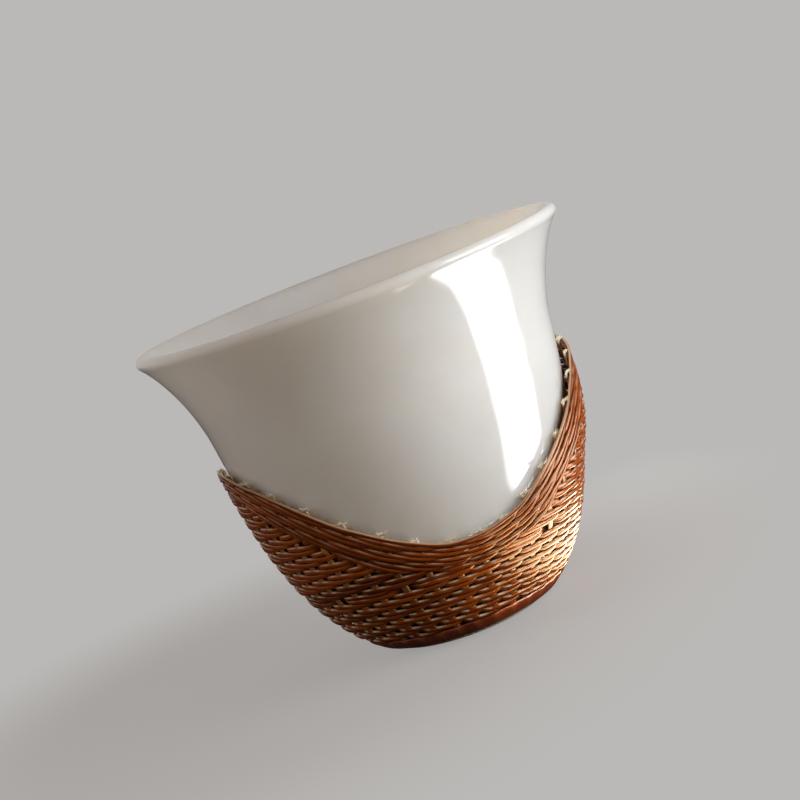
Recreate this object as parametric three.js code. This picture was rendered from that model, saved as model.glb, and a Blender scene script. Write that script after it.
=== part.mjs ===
// Tea cup: a flared porcelain cup held in a sleeve of woven bamboo.
// Millimetres, +Z up, origin at the centre of the foot. The sleeve's edge dips at the front (-Y) and back.
import * as THREE from "three";

// Porcelain cup
const CUP_HEIGHT = 59;
const LIP_RADIUS = 36;
const LIP_THICKNESS = 2.1;
const LIP_LEAN = 43; // degrees from upright
const WAIST_RADIUS = 29.3;
const WAIST_HEIGHT = 41.5;
const WAIST_LEAN = 7; // degrees from upright
const FOOT_RADIUS = 14.4;
const FOOT_HEIGHT = 1.6;
const FOOT_WIDTH = 2.4;
const FOOT_TAPER = 0.3;
const FOOT_RECESS = 1.4;
const FLOOR_THICKNESS = 3.6;
const WALL_THICKNESS = 2.4;
const BOWL_LEAN = 50; // degrees from upright, where the bowl leaves the foot

// How far each end of the wall's two curves keeps its own direction
const BOWL_FOOT_REACH = 14;
const BOWL_WAIST_REACH = 16;
const FLARE_WAIST_REACH = 6.5;
const FLARE_LIP_REACH = 3.8;

// Woven sleeve: upright stakes, and wefts that run over two stakes and under one
const STAKE_COUNT = 35;
const STAKE_WIDTH = 1;
const STAKE_THICKNESS = 0.3;
const STAKE_TIP = 0.5; // how far the cut ends stand above the border
const WEFT_WIDTH = 0.68;
const WEFT_THICKNESS = 0.3;
const ROW_GAP = 0.08;
const SEAT_GAP = 0.16; // porcelain to the wefts that lie against it
const WEAVE_CLEARANCE = 0.14; // weft to the edge of a stake
const BUTT_GAP = 0.3; // between the ends of two wefts that meet behind a stake
const TWILL_REPEAT = 3;
const BODY_WEFTS = 3;

// Edge of the sleeve: low at front and back, high at the sides, with a border that follows it
const EDGE_LOW = 18;
const EDGE_HIGH = 37.6;
const BORDER_TURNS = 6;
const BORDER_WEFTS = 2;
const BORDER_FAN = 0.2; // how much the border's rows spread where the edge is steepest

// Smooth hoop round the lower ends of the stakes
const HOOP_RISE = 0.4; // above the top of the foot, along the wall
const HOOP_HEIGHT = 3;
const HOOP_THICKNESS = 0.3;
const STAKE_INSET = 0.3; // stake ends above the hoop's lower edge

// Facets
const CUP_SEGMENTS = 44;
const BOWL_STEPS = 7;
const FLARE_STEPS = 6;
const INNER_FLARE_STEPS = 4;
const LIP_STEPS = 4;
const HOOP_STEPS = 2;
const STAKE_STEPS = 8;
const STAKE_CROWDING = 1.3; // more of a stake's facets near the foot, where it bends most
const TURN_STEPS = 3;
const BISECTIONS = 40;

const porcelain = new THREE.MeshStandardMaterial({ color: 0xf1eee6, roughness: 0.12, metalness: 0 });
const stakeBamboo = new THREE.MeshStandardMaterial({ color: 0xc98f4c, roughness: 0.45, metalness: 0 });
const weftBamboo = new THREE.MeshStandardMaterial({ color: 0xb4632a, roughness: 0.35, metalness: 0 });
const hoopBamboo = new THREE.MeshStandardMaterial({ color: 0x7c3616, roughness: 0.3, metalness: 0 });

// Outline of the cup, as radius and height
const along = (point, direction, distance) => point.clone().addScaledVector(direction, distance);
const inward = (direction) => new THREE.Vector2(-direction.y, direction.x);

function lean(degrees) {
  const angle = THREE.MathUtils.degToRad(degrees);
  return new THREE.Vector2(Math.sin(angle), Math.cos(angle));
}

const waistDirection = lean(WAIST_LEAN);
const lipDirection = lean(LIP_LEAN);

function wallCurves(waist, lip, bowlStart, bowlHandle) {
  const bowlEnd = along(waist, waistDirection, -BOWL_WAIST_REACH);
  const flareStart = along(waist, waistDirection, FLARE_WAIST_REACH);
  const flareEnd = along(lip, lipDirection, -FLARE_LIP_REACH);
  return {
    bowl: new THREE.CubicBezierCurve(bowlStart, bowlHandle, bowlEnd, waist),
    flare: new THREE.CubicBezierCurve(waist, flareStart, flareEnd, lip),
  };
}

const lipRound = LIP_THICKNESS / 2;
const lipCentre = new THREE.Vector2(LIP_RADIUS - lipRound, CUP_HEIGHT - lipRound);
const lipOutside = along(lipCentre, inward(lipDirection), -lipRound);
const lipInside = along(lipCentre, inward(lipDirection), lipRound);
const outerWaist = new THREE.Vector2(WAIST_RADIUS, WAIST_HEIGHT);
const innerWaist = along(outerWaist, inward(waistDirection), WALL_THICKNESS);
const footTop = new THREE.Vector2(FOOT_RADIUS, FOOT_HEIGHT);
const bowlHandle = along(footTop, lean(BOWL_LEAN), BOWL_FOOT_REACH);
const floorCentre = new THREE.Vector2(0, FOOT_RECESS + FLOOR_THICKNESS);
const floorHandle = new THREE.Vector2(bowlHandle.x, floorCentre.y);
const outside = wallCurves(outerWaist, lipOutside, footTop, bowlHandle);
const inside = wallCurves(innerWaist, lipInside, floorCentre, floorHandle);

function cupGeometry() {
  const lipStart = -THREE.MathUtils.degToRad(LIP_LEAN);
  const lip = new THREE.EllipseCurve(lipCentre.x, lipCentre.y, lipRound, lipRound, lipStart, lipStart + Math.PI);
  const footOuter = FOOT_RADIUS - FOOT_TAPER;
  const footInner = footOuter - FOOT_WIDTH;
  const profile = [
    new THREE.Vector2(0, FOOT_RECESS),
    new THREE.Vector2(footInner - FOOT_TAPER, FOOT_RECESS),
    new THREE.Vector2(footInner, 0),
    new THREE.Vector2(footOuter, 0),
    ...outside.bowl.getPoints(BOWL_STEPS),
    ...outside.flare.getPoints(FLARE_STEPS).slice(1),
    ...lip.getPoints(LIP_STEPS).slice(1),
    ...inside.flare.getPoints(INNER_FLARE_STEPS).reverse().slice(1),
    ...inside.bowl.getPoints(BOWL_STEPS).reverse().slice(1),
  ];
  return new THREE.LatheGeometry(profile, CUP_SEGMENTS).rotateX(Math.PI / 2);
}

// The sleeve lies on the cup's outer wall. A place in it is an angle round the cup from the front,
// a climb: the distance up the wall from the foot, and a level: the distance out from the wall.
const bowlLength = outside.bowl.getLength();
const flareLength = outside.flare.getLength();

function wallAt(climb) {
  const inBowl = climb < bowlLength;
  const curve = inBowl ? outside.bowl : outside.flare;
  const share = inBowl ? climb / bowlLength : (climb - bowlLength) / flareLength;
  return { point: curve.getPointAt(share), direction: curve.getTangentAt(share) };
}

function climbTo(height) {
  let low = 0;
  let high = bowlLength + flareLength;
  for (let pass = 0; pass < BISECTIONS; pass++) {
    const middle = (low + high) / 2;
    if (wallAt(middle).point.y < height) low = middle;
    else high = middle;
  }
  return low;
}

function offsetWall(climb, level) {
  const wall = wallAt(climb);
  return along(wall.point, inward(wall.direction), -level);
}

function sleeveFrame(angle, climb, level) {
  const wall = wallAt(climb);
  const radial = new THREE.Vector3(Math.sin(angle), -Math.cos(angle), 0);
  const spread = (flat) => radial.clone().multiplyScalar(flat.x).setZ(flat.y);
  return {
    centre: spread(along(wall.point, inward(wall.direction), -level)),
    up: spread(wall.direction),
    out: spread(inward(wall.direction).negate()),
    round: new THREE.Vector3(Math.cos(angle), Math.sin(angle), 0),
  };
}

// Levels of the weave. A weft slopes from over one stake to under the next, so the gap between weft
// and stake leaves room for the slope as it passes the stake's edge in the lowest, tightest row.
const stakeStep = (2 * Math.PI) / STAKE_COUNT;
const rowPitch = WEFT_WIDTH + ROW_GAP;
const bodyFirst = HOOP_RISE + HOOP_HEIGHT + rowPitch;
const edgeShare = STAKE_WIDTH / 2 / (wallAt(bodyFirst).point.x * stakeStep);
const slopeRoom = (STAKE_THICKNESS + WEFT_THICKNESS) * edgeShare;
const weaveGap = (slopeRoom + WEAVE_CLEARANCE) / (1 - 2 * edgeShare);
const underLevel = SEAT_GAP + WEFT_THICKNESS / 2;
const stakeInner = SEAT_GAP + WEFT_THICKNESS + weaveGap;
const stakeLevel = stakeInner + STAKE_THICKNESS / 2;
const stakeOuter = stakeInner + STAKE_THICKNESS;
const overLevel = stakeOuter + weaveGap + WEFT_THICKNESS / 2;

// The wavy edge, and the border that follows it
const lowClimb = climbTo(EDGE_LOW);
const highClimb = climbTo(EDGE_HIGH);
const edgeSwing = (highClimb - lowClimb) / 2;
const edgeClimb = (angle) => lowClimb + edgeSwing * (1 - Math.cos(2 * angle));

function steepness(angle) {
  const slope = (2 * edgeSwing * Math.sin(2 * angle)) / wallAt(edgeClimb(angle)).point.x;
  return Math.hypot(1, slope);
}

const borderPitch = (angle) => rowPitch * steepness(angle) * (1 + BORDER_FAN * Math.sin(2 * angle) ** 2);
const borderBottom = (angle) => edgeClimb(angle) - (BORDER_TURNS + 1) * borderPitch(angle);

// Closed body through a row of sections, whose corners turn the same way round
function sweep(sections) {
  const sides = sections[0].length;
  const last = (sections.length - 1) * sides;
  const index = [];
  for (let ring = 0; ring < last; ring += sides) {
    for (let side = 0; side < sides; side++) {
      const here = ring + side;
      const beside = ring + ((side + 1) % sides);
      index.push(here, beside, beside + sides, here, beside + sides, here + sides);
    }
  }
  for (let side = 2; side < sides; side++) {
    index.push(0, side, side - 1);
    index.push(last, last + side - 1, last + side);
  }
  const geometry = new THREE.BufferGeometry().setFromPoints(sections.flat());
  geometry.setIndex(index);
  geometry.computeVertexNormals();
  return geometry;
}

function stakeGeometry(stake) {
  const angle = stake * stakeStep;
  const bottom = HOOP_RISE + STAKE_INSET;
  const top = edgeClimb(angle) + STAKE_TIP;
  const half = STAKE_WIDTH / 2;
  const depth = STAKE_THICKNESS / 2;
  const sections = [];
  for (let step = 0; step <= STAKE_STEPS; step++) {
    const climb = bottom + (top - bottom) * (step / STAKE_STEPS) ** STAKE_CROWDING;
    const frame = sleeveFrame(angle, climb, stakeLevel);
    const corner = (out, side) =>
      frame.centre.clone().addScaledVector(frame.out, out).addScaledVector(frame.round, side);
    sections.push([corner(-depth, -half), corner(depth, -half), corner(depth, half), corner(-depth, half)]);
  }
  return sweep(sections);
}

// A weft has a flat back and a raised middle. turn is how far it has rolled, going round a stake.
function weftSection({ angle, climb, level, turn = 0, width = WEFT_WIDTH }) {
  const frame = sleeveFrame(angle, climb, level);
  const face = frame.out.clone().multiplyScalar(Math.cos(turn)).addScaledVector(frame.round, Math.sin(turn));
  const corner = (rise, depth) =>
    frame.centre.clone().addScaledVector(frame.up, rise).addScaledVector(face, depth);
  const depth = WEFT_THICKNESS / 2;
  return [corner(-width / 2, -depth), corner(width / 2, -depth), corner(0, depth)];
}

const weftGeometry = (stations) => sweep(stations.map(weftSection));
const twillLevel = (step) => (step % TWILL_REPEAT === 0 ? underLevel : overLevel);

// Wefts that wind round the cup, one stake at each step. Each starts and ends behind a stake.
const backStep = TWILL_REPEAT * Math.round(STAKE_COUNT / 2 / TWILL_REPEAT);
const wholeRepeats = (steps) => TWILL_REPEAT * Math.floor(steps / TWILL_REPEAT);

function windingWefts(turns, count, rowAt) {
  const steps = turns * STAKE_COUNT;
  const wefts = [];
  for (let weft = 0; weft < count; weft++) {
    const first = wholeRepeats((steps * weft) / count);
    const last = wholeRepeats((steps * (weft + 1)) / count);
    const stations = [];
    for (let step = first; step <= last; step++) {
      const angle = (backStep + step) * stakeStep;
      stations.push({ angle, level: twillLevel(backStep + step), ...rowAt(step / STAKE_COUNT, angle) });
    }
    const buttAngle = BUTT_GAP / 2 / wallAt(stations[0].climb).point.x;
    stations[0].angle += buttAngle;
    stations[stations.length - 1].angle -= buttAngle;
    wefts.push(weftGeometry(stations));
  }
  return wefts;
}

const bodyTurns = Math.floor((borderBottom(0) - rowPitch / 2 - bodyFirst) / rowPitch);
const bodyRow = (turn) => ({ climb: bodyFirst + turn * rowPitch });
const borderRow = (turn, angle) => ({
  climb: edgeClimb(angle) - (BORDER_TURNS - turn + 0.5) * borderPitch(angle),
  width: WEFT_WIDTH * steepness(angle),
});

// Packing wefts fill the two high sides under the border. Each goes back and forth, and turns back
// past the last stake that its rows cross, where they meet the border.
const packingFirst = bodyFirst + (bodyTurns + 1) * rowPitch;
const turnRadius = (overLevel - underLevel) / 2;
const turnDepth = turnRadius + WEFT_THICKNESS / 2 + WEAVE_CLEARANCE;
const nearestTurn = STAKE_WIDTH / 2;
const farthestTurn = (radius) => radius * stakeStep - STAKE_WIDTH / 2 - turnDepth;

function packingRows(stakes) {
  const fits = (stake, climb) => {
    const angle = stake * stakeStep;
    const reach = (nearestTurn + turnDepth) / wallAt(climb).point.x;
    const roof = Math.min(borderBottom(angle - reach), borderBottom(angle + reach));
    return roof >= climb + rowPitch / 2;
  };
  const rows = [];
  for (let row = 0; ; row++) {
    const climb = packingFirst + row * rowPitch;
    const crossed = stakes.filter((stake) => fits(stake, climb));
    if (crossed.length < TWILL_REPEAT) return rows;
    rows.push({ climb, ends: [crossed[0], crossed[crossed.length - 1]], course: bodyTurns + 1 + row });
  }
}

// Distance past a stake at which a row that climbs so far meets the border
function turnDistance(stake, climb, way) {
  const radius = wallAt(climb).point.x;
  let near = nearestTurn;
  let far = farthestTurn(radius);
  for (let pass = 0; pass < BISECTIONS; pass++) {
    const middle = (near + far) / 2;
    const angle = stake * stakeStep + (way * (middle + turnDepth)) / radius;
    if (borderBottom(angle) >= climb + rowPitch / 2) near = middle;
    else far = middle;
  }
  return near;
}

function turnBack(stake, from, to, way) {
  const start = turnDistance(stake, to, way);
  const middle = stake * stakeStep;
  const roll = way > 0 ? 0 : Math.PI;
  const stations = [{ angle: middle, climb: from, level: overLevel, turn: roll }];
  for (let step = 0; step <= TURN_STEPS; step++) {
    const bend = (Math.PI * step) / TURN_STEPS;
    const level = stakeLevel + turnRadius * Math.cos(bend);
    const climb = THREE.MathUtils.lerp(from, to, step / TURN_STEPS);
    const aside = way * (start + turnRadius * Math.sin(bend));
    stations.push({ angle: middle + aside / wallAt(climb).point.x, climb, level, turn: roll + way * bend });
  }
  stations.push({ angle: middle, climb: to, level: underLevel, turn: Math.PI - roll });
  return stations;
}

function packingGeometry(stakes) {
  const rows = packingRows(stakes);
  const stations = [];
  rows.forEach(({ climb, ends, course }, row) => {
    const way = row % 2 === 0 ? 1 : -1;
    const farEnd = way > 0 ? 1 : 0;
    const above = rows[row + 1];
    const turn = way > 0 ? 0 : Math.PI;
    const start = ends[1 - farEnd];
    const finish = above ? above.ends[farEnd] : ends[farEnd];
    const behind = (stake) => ({ angle: stake * stakeStep, climb, level: underLevel, turn });
    if (row === 0) stations.push(behind(start));
    for (let stake = start + way; stake !== finish; stake += way) {
      stations.push({ angle: stake * stakeStep, climb, level: twillLevel(stake - course), turn });
    }
    if (above) stations.push(...turnBack(finish, climb, above.climb, way));
    else stations.push(behind(finish));
  });
  return weftGeometry(stations);
}

function hoopGeometry() {
  const inner = stakeOuter + weaveGap;
  const outer = inner + HOOP_THICKNESS;
  const climbs = [];
  for (let step = 0; step <= HOOP_STEPS; step++) climbs.push(HOOP_RISE + (HOOP_HEIGHT * step) / HOOP_STEPS);
  const outerSide = climbs.map((climb) => offsetWall(climb, outer));
  const innerSide = climbs.map((climb) => offsetWall(climb, inner)).reverse();
  const profile = [...outerSide, ...innerSide, outerSide[0]];
  return new THREE.LatheGeometry(profile, CUP_SEGMENTS).rotateX(Math.PI / 2);
}

// The assembled cup
const teaCup = new THREE.Group();

function addPiece(name, geometry, material) {
  const mesh = new THREE.Mesh(geometry, material);
  mesh.name = name;
  teaCup.add(mesh);
}

addPiece("porcelain_cup", cupGeometry(), porcelain);
addPiece("base_hoop", hoopGeometry(), hoopBamboo);

const stakeNumbers = Array.from({ length: STAKE_COUNT }, (_, stake) => stake);
for (const stake of stakeNumbers) {
  const number = String(stake + 1).padStart(2, "0");
  addPiece(`stake_${number}`, stakeGeometry(stake), stakeBamboo);
}

windingWefts(bodyTurns, BODY_WEFTS, bodyRow).forEach((geometry, weft) => {
  addPiece(`body_weft_${weft + 1}`, geometry, weftBamboo);
});
windingWefts(BORDER_TURNS, BORDER_WEFTS, borderRow).forEach((geometry, weft) => {
  addPiece(`border_weft_${weft + 1}`, geometry, weftBamboo);
});

const rightSide = stakeNumbers.filter((stake) => Math.sin(stake * stakeStep) > 0);
const leftSide = stakeNumbers.filter((stake) => Math.sin(stake * stakeStep) < 0);
addPiece("packing_weft_right", packingGeometry(rightSide), weftBamboo);
addPiece("packing_weft_left", packingGeometry(leftSide), weftBamboo);

export default teaCup;
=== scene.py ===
"""Tea cup: glazed porcelain held in a sleeve of woven, lacquered bamboo.

Shapes are worked out in millimetres, as the solids are, and become metres in add_piece().
A place in the sleeve is an angle round the cup from the front (-Y) towards +X, a climb: the distance
up the cup's outer wall from the foot, and a level: the distance out from that wall.
"""

import math

import bpy
import numpy as np
from mathutils import Matrix, Vector


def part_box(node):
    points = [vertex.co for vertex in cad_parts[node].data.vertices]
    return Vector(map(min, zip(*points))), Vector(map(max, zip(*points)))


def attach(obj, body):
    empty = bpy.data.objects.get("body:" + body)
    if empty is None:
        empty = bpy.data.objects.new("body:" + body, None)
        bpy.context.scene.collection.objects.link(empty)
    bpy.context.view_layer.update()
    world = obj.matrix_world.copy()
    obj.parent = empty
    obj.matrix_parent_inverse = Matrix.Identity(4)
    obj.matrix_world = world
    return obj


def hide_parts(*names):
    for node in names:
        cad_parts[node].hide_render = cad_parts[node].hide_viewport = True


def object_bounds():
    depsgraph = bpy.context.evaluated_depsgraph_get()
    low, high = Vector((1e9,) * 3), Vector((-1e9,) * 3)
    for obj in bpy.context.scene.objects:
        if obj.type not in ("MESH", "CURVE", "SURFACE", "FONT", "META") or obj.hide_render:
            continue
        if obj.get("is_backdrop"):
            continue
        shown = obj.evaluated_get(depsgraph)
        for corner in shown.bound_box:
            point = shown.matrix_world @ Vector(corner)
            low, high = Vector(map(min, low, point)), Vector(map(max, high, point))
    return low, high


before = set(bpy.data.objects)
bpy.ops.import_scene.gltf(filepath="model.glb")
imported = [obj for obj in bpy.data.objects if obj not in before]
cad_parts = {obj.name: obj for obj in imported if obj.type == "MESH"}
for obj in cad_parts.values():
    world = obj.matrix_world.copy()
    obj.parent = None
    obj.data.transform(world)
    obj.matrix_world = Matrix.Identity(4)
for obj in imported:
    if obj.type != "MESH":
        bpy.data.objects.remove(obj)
cad_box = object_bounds()

MM = 0.001
TURN = 2 * math.pi
random = np.random.default_rng(7)  # seeded, so that every run is the same

# Porcelain cup, with the sizes of its solid
cup_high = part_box("porcelain_cup")[1]
CUP_HEIGHT = cup_high.z / MM
LIP_RADIUS = cup_high.x / MM
LIP_THICKNESS = 2.1
LIP_LEAN = 43  # degrees from upright, as all leans
WAIST_RADIUS = 29.3
WAIST_HEIGHT = 41.5
WAIST_LEAN = 7
FOOT_RADIUS = 14.4
FOOT_HEIGHT = 1.6
FOOT_WIDTH = 2.4
FOOT_TAPER = 0.3
FOOT_RECESS = 1.4
FOOT_ROUNDING = 0.35
FLOOR_THICKNESS = 3.6
WALL_THICKNESS = 2.4
BOWL_LEAN = 50
BOWL_FOOT_REACH = 14
BOWL_WAIST_REACH = 16
FLARE_WAIST_REACH = 6.5
FLARE_LIP_REACH = 3.8
CUP_SEGMENTS = 160
CURVE_STEPS = 40
LIP_STEPS = 14
CORNER_STEPS = 4
WALL_SAMPLES = 600

# The sleeve's edge, and how the sleeve lies on the cup
EDGE_LOW = 18  # heights of the sleeve's edge, at the front and back and at the sides
EDGE_HIGH = 37.6
SLEEVE_SHADE_START = 1.2  # below the sleeve's edge, where painted shade darkens the glaze under the weave
SLEEVE_SHADE_END = 2.4
STAND_OFF = 0.95  # how far the sleeve bulges away from the cup on its right side
STAND_OFF_START = 18.5  # climbs at which the bulge begins and at which it is full
STAND_OFF_FULL = 29
STAND_OFF_CLOSING = 6.5  # below the sleeve's edge, where the bulge starts to close
STAND_OFF_EDGE = 0.25  # share of the bulge that is left at the edge
STAND_OFF_POWER = 3  # the higher it is, the less far the bulge goes round the cup

# Stakes, the upright strips of the sleeve
stake_nodes = sorted(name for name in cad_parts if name.startswith("stake_"))
STAKE_COUNT = len(stake_nodes)
STAKE_STEP = TURN / STAKE_COUNT
STAKE_WIDTH = 1.15
STAKE_WIDTHS = (0.92, 1.06)  # the least and the most, as shares of that width
STAKE_THICKNESS = 0.36
STAKE_LEVEL = 0.96
STAKE_BOTTOM = 0.3  # above the hoop's lower edge
STAKE_TIP = -0.1  # above the sleeve's edge
STAKE_SPACING = 0.4
STAKE_BOW = 0.3  # how far a stake is pushed out where a weft passes under it
STAKE_BOW_REACH = 0.45
STAKE_PALE_START = 0.8  # below its cut end, where a stake starts to pale and where it is quite pale
STAKE_PALE_FULL = 0.2
STAKE_MAP_SHARE = 0.7  # of a stake's map, the rest of which its fibres take

# Fibres that stand up at the cut end of a stake
FIBRES_PER_TIP = 28
FIBRE_POINTS = 5
FIBRE_ROOT = 0.2  # below the stake's end
FIBRE_PLACE = 0.8  # to either side of the stake's middle, as a share of its width
FIBRE_SPLAY = 1.1
FIBRE_CURL = 1.5
FIBRE_LENGTHS = (0.45, 0.95)
FIBRE_DEPTH = 0.14
FIBRE_THICKNESSES = (0.09, 0.17)
FIBRE_TAPER = 0.7
FIBRE_FLATNESS = 1.4
FRAYING = (0.55, 1.1)  # the least and the most by which a stake's fibres are lengthened

# Wefts, the strands that weave between the stakes
WEFT_WIDTH = 0.755
WEFT_THICKNESS = 0.44
WEAVE_GAP = 0.01
ROW_PITCH = 0.76
UNDER_LEVEL = STAKE_LEVEL - STAKE_THICKNESS / 2 - WEAVE_GAP - WEFT_THICKNESS / 2
OVER_LEVEL = STAKE_LEVEL + STAKE_THICKNESS / 2 + WEAVE_GAP + WEFT_THICKNESS / 2
TWILL_REPEAT = 3
DIVE_START = 0.45  # from the middle of a stake, where the weft is quite under it
DIVE_LENGTH = 2.6  # in which a weft goes down on the left of a stake
RISE_LENGTH = 2.1  # in which it comes up on the right
WEFT_SAMPLES = (0, 0.09, 0.16, 0.24, 0.33, 0.44, 0.58, 0.76, 0.88, 1, 1.12, 1.24, 1.42,
                1.65, 1.9, 2.1, 2.28, 2.43, 2.56, 2.68, 2.79, 2.9)  # stakes past a tuck
SAMPLE_GAP = 0.02  # the least between a weft's ends and the samples beside them
FLOAT_ARCH = 0.18  # how far a weft arches out between its tucks
TUCKED = 0.01  # the share over the stakes below which a weft counts as tucked
TUCK_SPREAD = 0.5  # share by which a weft is flattened wider where it is tucked
TUCK_SPREAD_START = 0.6  # shares over the stakes between which it spreads
TUCK_SPREAD_FULL = 0.1
ROW_CROWDING = 0.1  # how far a float is pushed towards the tucks beside it
CROWDING_REACH = 0.42  # in stakes
LEVEL_WANDER = 0.03  # how far a weft strays in and out, and up and down
CLIMB_WANDER = 0.02
WIDTH_WANDER = 0.03  # shares by which its width and thickness vary
THICKNESS_WANDER = 0.06
LEVEL_WAVES = (7.3, 11.9, 19.1)  # lengths of the waves in which it does so, in stakes
CLIMB_WAVES = (9.1, 14.7, 23.3)
WIDTH_WAVES = (5.7, 13.1, 29.3)
THICKNESS_WAVES = (8.3, 17.9, 31.7)
GLINT_SIDE = 0.72  # share of half a weft's width above which its upper side carries a painted glint
GLINT_INSIDE = 0.15  # how far inside and outside a stake's edge the painted glint of a tuck fades in
GLINT_OUTSIDE = 0.1
# share of a painted highlight along the top of the sleeve's edge
RIM_GLINT = 0.45
MAP_ROW_RINGS = 200  # rings of a weft in each row of its map
ROW_STEP = 0.06  # share of a turn in which a weft climbs to its next row, at the back
BODY_WEFTS = 3
SPLINT_STAKES = 27  # stakes that one splint of bamboo passes before the next takes over

# Border wefts, which follow the sleeve's edge
BORDER_WEFTS = 2
BORDER_TURNS = 9
BORDER_PITCH = 0.52
BORDER_WIDTH = 0.53
BORDER_LIFT = 0.6  # how far the border's wefts stay over the stakes, which are pressed in there
BORDER_PRESS = 0.3
BORDER_PRESS_START = 0.6  # below the border's lower edge, and above it, between which stakes are pressed in
BORDER_PRESS_FULL = 0.2
BORDER_FAN = 0.2
BORDER_COVER = 2.2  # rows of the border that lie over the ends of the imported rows
BORDER_SAMPLES = 2000

# Packing wefts, which go back and forth on the high sides of the sleeve
PACKING_AHEAD = 100 * TWILL_REPEAT  # whole repeats that keep the packing's counts of stakes above zero
PACKING_TURN = 0.5  # stakes in which a packing weft turns back
PACKING_TURN_CLIMB = 0.45  # share of a row that it climbs before and after it turns
PACKING_UNDER = 0.15  # stakes from its turn in which it is quite under

# Base hoop
HOOP_RISE = 0.4  # climb of the hoop's lower edge
HOOP_HEIGHT = 3
HOOP_THICKNESS = 0.42
HOOP_ROUNDING = 0.6  # share of its thickness that it loses at its edges
HOOP_ROUNDING_POWER = 8
HOOP_RIDGE = 0.12  # how far a stake pushes the hoop out
HOOP_RIDGE_WIDTH = 0.55
HOOP_RIDGE_START = -0.9  # from -1 at the hoop's lower edge to 1 at its upper one
HOOP_RIDGE_FULL = 0.6
HOOP_SEGMENTS = 8 * STAKE_COUNT
HOOP_STEPS = 17


def smoothstep(value, start, end):
    share = np.clip((value - start) / (end - start), 0, 1)
    return share * share * (3 - 2 * share)


def lengths_along(points):
    """Distance along a line of points, at each of them."""
    return np.concatenate([[0], np.cumsum(np.linalg.norm(np.diff(points, axis=0), axis=1))])


# Outline of the cup, as radius and height
def lean(degrees):
    """Direction that leans out from upright."""
    angle = math.radians(degrees)
    return np.array([math.sin(angle), math.cos(angle)])


def inward(direction):
    """Direction a quarter turn further in."""
    return np.array([-direction[1], direction[0]])


def bezier(start, leave, arrive, end, steps):
    share = np.linspace(0, 1, steps + 1)[:, None]
    rest = 1 - share
    return rest**3 * start + 3 * rest**2 * share * leave + 3 * rest * share**2 * arrive + share**3 * end


def wall_outline(waist, lip, start, start_handle, steps):
    """The wall's bowl and flare from its start up to the lip."""
    waist_direction, lip_direction = lean(WAIST_LEAN), lean(LIP_LEAN)
    bowl = bezier(start, start_handle, waist - BOWL_WAIST_REACH * waist_direction, waist, steps)
    flare_start = waist + FLARE_WAIST_REACH * waist_direction
    flare = bezier(waist, flare_start, lip - FLARE_LIP_REACH * lip_direction, lip, steps)
    return np.vstack([bowl, flare[1:]])


def rounded(points, radius):
    """The points as a line whose inner corners are rounded."""
    line = [points[0]]
    for before, corner, after in zip(points, points[1:], points[2:]):
        reach = min(radius, np.linalg.norm(before - corner) / 2, np.linalg.norm(after - corner) / 2)
        enter = corner + reach * (before - corner) / np.linalg.norm(before - corner)
        leave = corner + reach * (after - corner) / np.linalg.norm(after - corner)
        line.extend(bezier(enter, (enter + 2 * corner) / 3, (leave + 2 * corner) / 3, leave, CORNER_STEPS))
    line.append(points[-1])
    return np.array(line)


lip_round = LIP_THICKNESS / 2
lip_centre = np.array([LIP_RADIUS - lip_round, CUP_HEIGHT - lip_round])
lip_outside = lip_centre - lip_round * inward(lean(LIP_LEAN))
lip_inside = lip_centre + lip_round * inward(lean(LIP_LEAN))
waist_outside = np.array([WAIST_RADIUS, WAIST_HEIGHT])
waist_inside = waist_outside + WALL_THICKNESS * inward(lean(WAIST_LEAN))
foot_top = np.array([FOOT_RADIUS, FOOT_HEIGHT])
bowl_handle = foot_top + BOWL_FOOT_REACH * lean(BOWL_LEAN)
floor_centre = np.array([0, FOOT_RECESS + FLOOR_THICKNESS])
floor_handle = np.array([bowl_handle[0], floor_centre[1]])

wall = wall_outline(waist_outside, lip_outside, foot_top, bowl_handle, WALL_SAMPLES)
wall_climbs = lengths_along(wall)
wall_directions = np.gradient(wall, wall_climbs, axis=0)


def wall_at(climb):
    """Radius and height of the outer wall, and the two parts of its direction."""
    radius, height = (np.interp(climb, wall_climbs, column) for column in wall.T)
    outwards, upwards = (np.interp(climb, wall_climbs, column) for column in wall_directions.T)
    return radius, height, outwards, upwards


def wall_radius(climb):
    return np.interp(climb, wall_climbs, wall[:, 0])


def climb_to(height):
    """Climb at which the outer wall reaches a height."""
    return float(np.interp(height, wall[:, 1], wall_climbs))


# The sleeve's edge and the border that follows it
low_climb = climb_to(EDGE_LOW)
edge_swing = (climb_to(EDGE_HIGH) - low_climb) / 2


def edge_climb(angle):
    return low_climb + edge_swing * (1 - np.cos(2 * angle))


def steepness(angle):
    """How much longer the sleeve's edge is there than the way round the cup."""
    slope = 2 * edge_swing * np.sin(2 * angle) / wall_radius(edge_climb(angle))
    return np.hypot(1, slope)


def fan(angle):
    """How far the border's wefts spread on the slopes of the edge."""
    return 1 + BORDER_FAN * np.sin(2 * angle) ** 2


def border_pitch(angle):
    return BORDER_PITCH * steepness(angle) * fan(angle)


def border_bottom(angle):
    return edge_climb(angle) - BORDER_TURNS * border_pitch(angle)


# Places in the sleeve
def around(angle, radius, height):
    """Points at angles round the axis, as x, y and z."""
    return np.stack([radius * np.sin(angle), -radius * np.cos(angle), height + 0 * angle], axis=-1)


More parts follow.
